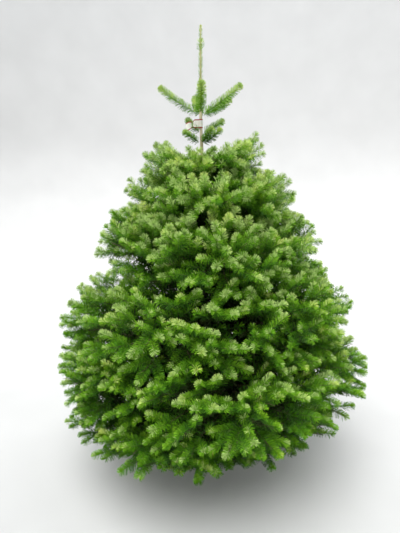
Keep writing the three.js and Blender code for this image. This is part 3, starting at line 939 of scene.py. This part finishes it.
def make_trunk():
    """The trunk from its flat cut to the leader's tip, with its flare and bark."""
    rings = round(TREE_HEIGHT / TRUNK_STEP)
    between = [TREE_HEIGHT * i / rings for i in range(1, rings)]
    levels = [*FOOT_RINGS, *between, TREE_HEIGHT - TIP_RING, TREE_HEIGHT]
    radii = [trunk_radius(z) for z in levels]
    trunk = draw_limb("trunk_bark", trunk_middle(levels), radii, TRUNK_SIDES)
    pull_lobes(trunk)
    roughen(trunk, relief_texture("bark_plates", BARK_RELIEF.size), BARK_RELIEF.depth)
    level_foot(trunk)
    bpy.ops.object.shade_smooth()
    paint_piece(trunk, bark_paint())
    place_piece(trunk, "bark", "trunk")


def join_pieces(pieces, name):
    """Joins pieces into the first one."""
    select_only(pieces)
    bpy.ops.object.join()
    pieces[0].name = pieces[0].data.name = name


def make_boughs(boughs):
    """The boughs of all tiers, with their collars."""
    texture = relief_texture("young_bark_relief", YOUNG_RELIEF.size)
    limbs = []
    for i, bough in enumerate(boughs):
        thick = BOUGH.root + BOUGH.per_reach * bough.tier.reach
        radii = np.linspace(thick, BOUGH.tip, BOUGH.stops)
        radii[0] *= BOUGH.collar
        path = on_bough(bough, np.linspace(0, bough.reach - STEM_END * bough.tier.blade, BOUGH.stops))
        limb = draw_limb(f"bough_{i}", path, radii, BOUGH.sides)
        roughen(limb, texture, YOUNG_RELIEF.depth)
        limbs.append(limb)
    join_pieces(limbs, "boughs")
    bpy.ops.object.shade_smooth()
    paint_piece(limbs[0], young_bark_paint("bough_bark", BOUGH_BARK))
    place_piece(limbs[0], "young_bark", *nodes_named("bough_"))


def place_tubes(name, parts, material):
    """Groups of tubes as one piece."""
    start, corners, walls, ends = 0, [], [], []
    for part_corners, part_walls, part_ends in parts:
        corners.append(part_corners)
        walls.append(part_walls + start)
        ends.append(part_ends + start)
        start += len(part_corners)
    piece = mesh_piece(name, np.concatenate(corners), [np.concatenate(walls), np.concatenate(ends)])
    paint_piece(piece, material)
    place_piece(piece, "young_bark", *leafy_nodes())


def make_twigs(twigs, groups):
    """The twigs of all fans, and the thin middle of each shoot."""
    shares = np.linspace(0, 1, TWIG.stops)
    paths = np.stack([path_at(twigs, np.full(len(twigs.tip), s))[0] for s in shares], 1)
    paths[:, -1] = paths[:, -1] * (1 - TWIG.short) + paths[:, -2] * TWIG.short
    thick = np.clip(TWIG.radius + TWIG.per_length * twigs.length, TWIG.least, TWIG.most)
    radii = thick[:, None] + (TWIG.tip - thick[:, None]) * shares
    place_tubes("twigs", [tubes(paths, radii)], young_bark_paint("twig_bark", TWIG_BARK))
    parts = []
    for kind, group in groups.items():
        middle = [] if kind in ("inner", "shade") else [SHOOT_STEM.middle]
        stops = np.array([0, *middle, SHOOT_STEM.end])[:, None]
        run = group.way[:, None] * group.length[:, None, None] * stops
        run = group.root[:, None] + run + group.bend[:, None] * stops**2
        thin = np.linspace(SHOOT_STEM.foot, SHOOT_STEM.tip, len(stops))
        parts.append(tubes(run, np.tile(thin, (len(run), 1))))
    place_tubes("shoot_stems", parts, young_bark_paint("green_bark", GREEN_BARK))


def make_needles(groups):
    """All needles, dealt out by their lightness to pieces of one tint, each piece from the ground up."""
    made = [needles_on(group, kind) for kind, group in groups.items()]
    corners = np.concatenate([corners for corners, _ in made])
    light = np.concatenate([light for _, light in made])
    borders = [least for _, least, _ in TINTS] + [math.inf]
    for i, (tint, least, color) in enumerate(TINTS):
        chosen = corners[(light >= least) & (light < borders[i + 1])]
        chosen = chosen[np.argsort(chosen[:, 0, 2], kind="stable")]
        material = needle_paint("needles_" + tint, color)
        # the palest tint, fresh growth with painted highlights, gets its own slot
        slot = "fresh_needles" if tint == "fresh_and_highlit" else "needles"
        for part, blades in enumerate(np.array_split(chosen, math.ceil(len(chosen) / MOST_NEEDLES))):
            faces = np.arange(len(blades) * 4).reshape(-1, 4)
            piece = mesh_piece(f"needles_{tint}_{part + 1}", blades.reshape(-1, 3), [faces])
            paint_piece(piece, material)
            place_piece(piece, slot, *leafy_nodes())


def pull_tail(band, middle, radius):
    """Draws the loop's left side out into the tail, pinched half way."""
    left = middle[0] - radius
    for edge in band.data.edges:
        edge.select = all(abs(band.data.vertices[v].co.x - left) < NEAR for v in edge.vertices)
    for vertex in band.data.vertices:
        vertex.select = abs(vertex.co.x - left) < NEAR
    bpy.ops.object.mode_set(mode="EDIT")
    bpy.ops.mesh.select_mode(type="EDGE")
    height_before, z = 1, BAND.middle
    for run, forward, drop, height in BAND_TAIL:
        z -= drop
        draw_out(-run, -forward, -drop)
        bpy.ops.transform.resize(value=(1, 1, height / height_before), center_override=(left, 0, z))
        height_before = height
    close_mesh()


def make_band():
    """The paper band: a loop round the trunk with a waved tail to the left, and a stripe along each edge."""
    foot = BAND.middle - BAND.height / 2
    radius = trunk_radius(foot) + BAND.gap + BAND.thickness
    middle = trunk_middle(BAND.middle)
    bpy.ops.object.select_all(action="DESELECT")
    bpy.ops.mesh.primitive_circle_add(vertices=BAND.sides, radius=radius, fill_type="NOTHING",
                                      location=(middle[0], middle[1], foot))
    band = start_piece("paper_band_sheet")
    for rise in (BAND.stripe, BAND.height - 2 * BAND.stripe, BAND.stripe):
        draw_out(0, 0, rise)
    apply_place(band)
    for face in band.data.polygons:
        face.material_index = int(abs(face.center.z - BAND.middle) > BAND.height / 2 - BAND.stripe)
    pull_tail(band, middle, radius)
    apply_modifier(band, "SOLIDIFY", thickness=BAND.thickness, offset=0)
    apply_modifier(band, "SUBSURF", levels=2, render_levels=2, subdivision_type="SIMPLE")
    open_mesh()
    face_outwards()
    close_mesh()
    bpy.ops.object.shade_smooth_by_angle(angle=math.radians(FOLD_ANGLE))
    paint_piece(band, paper_paint("paper", PAPER), paper_paint("red_stripe", RED_STRIPE))
    place_piece(band, "paper", "paper_band")


# Floor, light and camera


def make_floor():
    """A plain pale floor that curves up into a backdrop all round."""
    bpy.ops.object.select_all(action="DESELECT")
    bpy.ops.mesh.primitive_circle_add(vertices=BACKDROP.sides, radius=BACKDROP.floor, fill_type="NGON")
    floor = start_piece("floor")
    bpy.ops.mesh.select_mode(type="EDGE")
    bpy.ops.mesh.region_to_loop()
    r, z, curve = BACKDROP.floor, 0, BACKDROP.curve
    turns = [math.pi / 2 * i / BACKDROP.steps for i in range(1, BACKDROP.steps + 1)]
    rings = [(BACKDROP.floor + curve * math.sin(turn), curve * (1 - math.cos(turn))) for turn in turns]
    for next_r, next_z in [*rings, (BACKDROP.floor + curve, BACKDROP.height)]:
        draw_out(0, 0, next_z - z)
        bpy.ops.transform.resize(value=(next_r / r, next_r / r, 1), center_override=(0, 0, 0))
        r, z = next_r, next_z
    close_mesh()
    bpy.ops.object.shade_smooth()
    paint_piece(floor, floor_paint())


def make_studio():
    """Soft light from above and a pale surround."""
    sun = bpy.data.lights.new("soft_sun", "SUN")
    sun.energy, sun.angle = SUN.energy, math.radians(SUN.angle)
    lamp = bpy.data.objects.new("soft_sun", sun)
    lamp.rotation_euler = Vector(SUN.way).to_track_quat("-Z", "Y").to_euler()
    bpy.context.scene.collection.objects.link(lamp)
    world = bpy.data.worlds.new("surround")
    world.use_nodes = True
    background = world.node_tree.nodes["Background"]
    background.inputs["Color"].default_value = (*SKY.color, 1)
    background.inputs["Strength"].default_value = SKY.strength
    bpy.context.scene.world = world
    bpy.context.scene.view_settings.view_transform = "Standard"


def make_camera():
    """The photograph's view: held at eye height close to the tree, a little down."""
    data = bpy.data.cameras.new("camera")
    data.lens, data.sensor_width = CAMERA.lens, CAMERA.sensor
    camera = bpy.data.objects.new("camera", data)
    camera.location = CAMERA.place
    camera.rotation_euler = (math.radians(CAMERA.pitch), 0, 0)
    bpy.context.scene.collection.objects.link(camera)
    bpy.context.scene.camera = camera


# The whole tree


def layers_of(bough):
    """A mass's layers of fans. The top tier is too narrow for a core."""
    return LAYERS[:-1] if bough.level == 0 else LAYERS


def make_tree():
    """Trunk, boughs, twigs, needles and band."""
    boughs = [bough for level in range(len(TIERS)) for bough in boughs_of(level)]
    twigs = joined([twigs_of(bough, layer) for bough in boughs for layer in layers_of(bough)])
    groups = shoots_of(twigs)
    groups["top"] = lone_shoots(TOP_SHOOTS, TOP_FORM, KINDS["top"].light)
    groups["small"] = joined([lone_shoots(STEM_TWIGS, SMALL_FORM, KINDS["small"].light),
                              lone_shoots(COLLAR_SHOOTS, SMALL_FORM, COLLAR_LIGHT)])
    for kind, runs in LEADER_RUNS.items():
        groups[kind] = leader_shoots(runs, KINDS[kind].light)
    make_trunk()
    make_boughs(boughs)
    make_twigs(twigs, groups)
    make_needles(groups)
    make_band()


make_tree()
make_floor()
make_studio()
make_camera()
